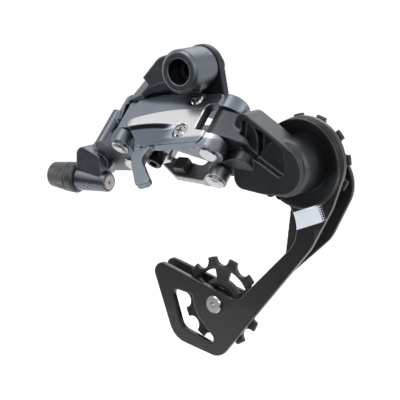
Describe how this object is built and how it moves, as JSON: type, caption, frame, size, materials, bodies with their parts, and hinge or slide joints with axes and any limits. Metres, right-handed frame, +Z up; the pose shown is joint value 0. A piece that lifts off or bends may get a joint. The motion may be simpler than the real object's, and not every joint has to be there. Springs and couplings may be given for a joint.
{
  "type": "rear bicycle derailleur",
  "caption": "Rear bicycle derailleur: slanted parallelogram between a hanger knuckle and a sprung cage with two toothed pulleys, with a cable adjuster at the rear.",
  "frame": {"origin": "hanger bolt's axis at the face that seats on the frame's hanger", "axes": "+X forward, +Y inboard towards the wheel along the hanger bolt, +Z up"},
  "size_m": [0.1609, 0.0669, 0.157],
  "materials": {
    "grey_anodised": "blue-grey anodised, satin",
    "silver": "satin silver",
    "dark_anodised": "dark grey anodised, satin",
    "black_anodised": "black anodised, satin",
    "bright_steel": "bright turned steel",
    "dark_steel": "blackened steel",
    "black_polymer": "black moulded polymer",
    "bush_polymer": "grey bearing polymer",
    "rubber": "black seal rubber"
  },
  "bodies": {
    "hanger_side": {"hanger_bolt": "dark_steel", "b_stop_plate": "dark_steel"},
    "knuckle": {"b_knuckle": "grey_anodised", "hanger_sleeve": "bush_polymer", "outer_rear_pin": "bright_steel", "inner_rear_pin": "bright_steel", "cable_liner": "bush_polymer", "return_spring": "bright_steel"},
    "tension_screw": {"b_tension_screw": "dark_steel"},
    "adjuster": {"adjuster_knob": "black_polymer", "adjuster_barrel": "dark_steel"},
    "outer_side": {"outer_link": "grey_anodised", "outer_rear_bush": "bush_polymer", "outer_front_pin": "bright_steel", "cable_anchor_bolt": "dark_steel", "cable_clamp_washer": "bright_steel"},
    "high_screw": {"high_limit_screw": "bright_steel"},
    "low_screw": {"low_limit_screw": "bright_steel"},
    "inner_side": {"inner_link": "silver", "inner_rear_bush": "bush_polymer", "inner_front_pin": "bright_steel", "limit_stop_block": "black_polymer"},
    "cage_knuckle": {"p_knuckle": "dark_anodised", "outer_front_bush": "bush_polymer", "inner_front_bush": "bush_polymer", "cage_bush": "bush_polymer", "cage_spring": "bright_steel", "cage_seal": "rubber"},
    "cage": {"cage_axle": "dark_steel", "outer_cage_plate": "black_anodised", "inner_cage_plate": "black_anodised", "cage_stop_pin": "dark_steel", "upper_pulley_bolt": "dark_steel", "lower_pulley_bolt": "bright_steel", "upper_pulley_bush": "dark_steel", "lower_pulley_bush": "dark_steel", "upper_pulley_shields": "bright_steel", "lower_pulley_shields": "bright_steel"},
    "guide_wheel": {"upper_pulley": "black_polymer"},
    "tension_wheel": {"lower_pulley": "black_polymer"}
  },
  "joints": [
    {"name": "hanger_pivot", "type": "hinge", "parent": "hanger_side", "child": "knuckle", "pos_m": [0, 0, 0], "axis": [0, 1, 0], "range_deg": [0, 15]},
    {"name": "tension_screw_turn", "type": "hinge", "parent": "knuckle", "child": "tension_screw", "pos_m": [-0.01733, -0.00195, -0.01011], "axis": [0.9511, 0, -0.309], "continuous": true},
    {"name": "adjuster_turn", "type": "hinge", "parent": "knuckle", "child": "adjuster", "pos_m": [-0.07, -0.0155, -0.06], "axis": [1, 0, 0], "continuous": true},
    {"name": "outer_link_swing", "type": "hinge", "parent": "knuckle", "child": "outer_side", "pos_m": [-0.0344, -0.01167, -0.02823], "axis": [0, 0.7193, 0.6947], "range_deg": [0, 60], "stiffness_Nm_per_rad": 0.35, "springref_deg": -57.3},
    {"name": "inner_link_swing", "type": "hinge", "parent": "knuckle", "child": "inner_side", "pos_m": [-0.0344, -0.00208, -0.03815], "axis": [0, 0.7193, 0.6947], "range_deg": [0, 60]},
    {"name": "cage_knuckle_swing", "type": "hinge", "parent": "outer_side", "child": "cage_knuckle", "pos_m": [0.02035, -0.01446, -0.02533], "axis": [0, 0.7193, 0.6947], "range_deg": [-60, 0]},
    {"name": "high_screw_turn", "type": "hinge", "parent": "outer_side", "child": "high_screw", "pos_m": [0.00463, -0.01059, -0.01624], "axis": [0.0732, 0.6928, -0.7174], "continuous": true},
    {"name": "low_screw_turn", "type": "hinge", "parent": "outer_side", "child": "low_screw", "pos_m": [0.00463, -0.02433, -0.0295], "axis": [0.0732, 0.6928, -0.7174], "continuous": true},
    {"name": "cage_swing", "type": "hinge", "parent": "cage_knuckle", "child": "cage", "pos_m": [0.053, 0, -0.0415], "axis": [0, -1, 0], "range_deg": [0, 100], "stiffness_Nm_per_rad": 0.25, "springref_deg": -68.75},
    {"name": "upper_pulley_spin", "type": "hinge", "parent": "cage", "child": "guide_wheel", "pos_m": [0.053, 0.01, -0.0415], "axis": [0, 1, 0], "continuous": true},
    {"name": "lower_pulley_spin", "type": "hinge", "parent": "cage", "child": "tension_wheel", "pos_m": [0.0031, 0.01, -0.1189], "axis": [0, 1, 0], "continuous": true}
  ],
  "couplings": [
    {"joint": "inner_link_swing", "follows": "outer_link_swing", "ratio": 1},
    {"joint": "cage_knuckle_swing", "follows": "outer_link_swing", "ratio": -1}
  ]
}
